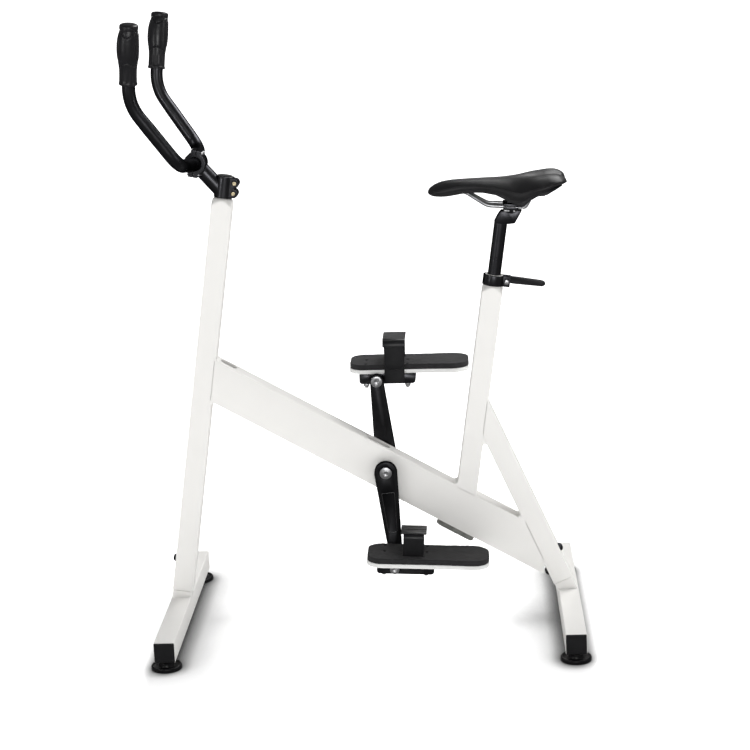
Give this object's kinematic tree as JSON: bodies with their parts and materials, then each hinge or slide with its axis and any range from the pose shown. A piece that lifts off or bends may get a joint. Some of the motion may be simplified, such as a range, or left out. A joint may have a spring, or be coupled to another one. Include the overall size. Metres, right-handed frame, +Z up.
{
  "type": "underwater exercise bike",
  "caption": "Stationary bicycle for pool use: sloping square-tube frame on two cross feet, swept handlebar, saddle on a sliding post, cranks with strapped foot plates.",
  "frame": {"origin": "on the floor, in the middle plane, halfway along the object's bounding box between the handlebar end and the saddle end", "axes": "+Z up, +X from the handlebar towards the saddle, +Y to the rider's right; the middle plane is y = 0"},
  "size_m": [0.8374, 0.5506, 1.2123],
  "materials": {
    "frame_coat": "satin off-white powder coat",
    "black_metal": "satin black anodised and painted",
    "black_plastic": "matte",
    "crank_black": "satin black",
    "grip_rubber": "matte moulded",
    "pad_rubber": "matte foam rubber",
    "strap_rubber": "satin",
    "saddle_cover": "matte black cover",
    "white_plate": "satin white",
    "steel": "polished stainless",
    "brass": "zinc-yellow plated",
    "anode": "dull grey cast",
    "rubber_foot": "matte"
  },
  "bodies": {
    "frame": {"front_post": "frame_coat", "main_beam": "frame_coat", "seat_tube": "frame_coat", "rear_strut": "frame_coat", "steerer_tube": "frame_coat", "steerer_support": "frame_coat", "steerer_cap": "black_plastic", "seat_tube_liner": "black_plastic", "bottom_bracket_shell": "frame_coat", "crank_bushes": "black_plastic", "front_foot_tube": "frame_coat", "rear_foot_tube": "frame_coat", "front_spigot": "frame_coat", "rear_spigot": "frame_coat", "foot_end_caps": "black_plastic", "foot_nuts": "steel", "frame_bolts": "black_metal", "corrosion_anode": "anode", "anode_screws": "steel", "seat_collar": "black_metal", "collar_skewer": "steel"},
    "foot_front_left": {"levelling_foot_front_left": "rubber_foot"},
    "foot_front_right": {"levelling_foot_front_right": "rubber_foot"},
    "foot_rear_left": {"levelling_foot_rear_left": "rubber_foot"},
    "foot_rear_right": {"levelling_foot_rear_right": "rubber_foot"},
    "stem": {"stem_body": "black_metal", "stem_pinch_bolts": "brass", "stem_face_plate": "black_metal", "face_plate_bolts": "steel"},
    "bar": {"handlebar": "black_metal", "left_grip": "grip_rubber", "right_grip": "grip_rubber"},
    "lever": {"collar_lever": "black_plastic"},
    "post": {"seat_post": "black_metal", "seat_post_head": "black_metal"},
    "cradle": {"lower_rail_cradle": "black_metal", "upper_rail_cradle": "black_metal", "cradle_bolt": "steel"},
    "saddle": {"saddle_cover": "saddle_cover", "saddle_base": "black_plastic", "saddle_rails": "steel"},
    "crank": {"crank_axle": "steel", "left_crank": "crank_black", "right_crank": "crank_black", "crank_bolts": "steel", "left_pedal_spindle": "steel", "right_pedal_spindle": "steel"},
    "left_pedal": {"left_pedal_bracket": "black_plastic", "left_foot_plate": "white_plate", "left_foot_pad": "pad_rubber", "left_strap": "strap_rubber", "left_pedal_fixings": "steel"},
    "right_pedal": {"right_pedal_bracket": "black_plastic", "right_foot_plate": "white_plate", "right_foot_pad": "pad_rubber", "right_strap": "strap_rubber", "right_pedal_fixings": "steel"}
  },
  "joints": [
    {"name": "crank_spin", "type": "hinge", "parent": "frame", "child": "crank", "pos_m": [0.0335, 0, 0.3138], "axis": [0, 1, 0], "continuous": true},
    {"name": "left_pedal_spin", "type": "hinge", "parent": "crank", "child": "left_pedal", "pos_m": [0.04772, 0, 0.1444], "axis": [0, 1, 0], "continuous": true},
    {"name": "right_pedal_spin", "type": "hinge", "parent": "crank", "child": "right_pedal", "pos_m": [0.01928, 0, 0.4832], "axis": [0, 1, 0], "continuous": true},
    {"name": "stem_swivel", "type": "hinge", "parent": "frame", "child": "stem", "pos_m": [-0.25735, 0, 0.88448], "axis": [0.1564, 0, 0.9877], "range_deg": [-30, 30]},
    {"name": "bar_tilt", "type": "hinge", "parent": "stem", "child": "bar", "pos_m": [-0.3095, 0, 0.932], "axis": [0, 1, 0], "range_deg": [-40, 40]},
    {"name": "post_height", "type": "slide", "parent": "frame", "child": "post", "axis": [0.1478, 0, 0.989], "range_m": [-0.085, 0.085]},
    {"name": "lever_open", "type": "hinge", "parent": "frame", "child": "lever", "pos_m": [0.27984, 0.019, 0.68329], "axis": [0.1478, 0, 0.989], "range_deg": [0, 150]},
    {"name": "saddle_tilt", "type": "hinge", "parent": "post", "child": "cradle", "pos_m": [0.2905, 0, 0.831], "axis": [0, 1, 0], "range_deg": [-8, 8]},
    {"name": "saddle_setback", "type": "slide", "parent": "cradle", "child": "saddle", "axis": [0.9966, 0, -0.0819], "range_m": [-0.006, 0.014]},
    {"name": "level_front_left", "type": "slide", "parent": "frame", "child": "foot_front_left", "axis": [0, 0, -1], "range_m": [0, 0.012]},
    {"name": "level_front_right", "type": "slide", "parent": "frame", "child": "foot_front_right", "axis": [0, 0, -1], "range_m": [0, 0.012]},
    {"name": "level_rear_left", "type": "slide", "parent": "frame", "child": "foot_rear_left", "axis": [0, 0, -1], "range_m": [0, 0.012]},
    {"name": "level_rear_right", "type": "slide", "parent": "frame", "child": "foot_rear_right", "axis": [0, 0, -1], "range_m": [0, 0.012]}
  ]
}
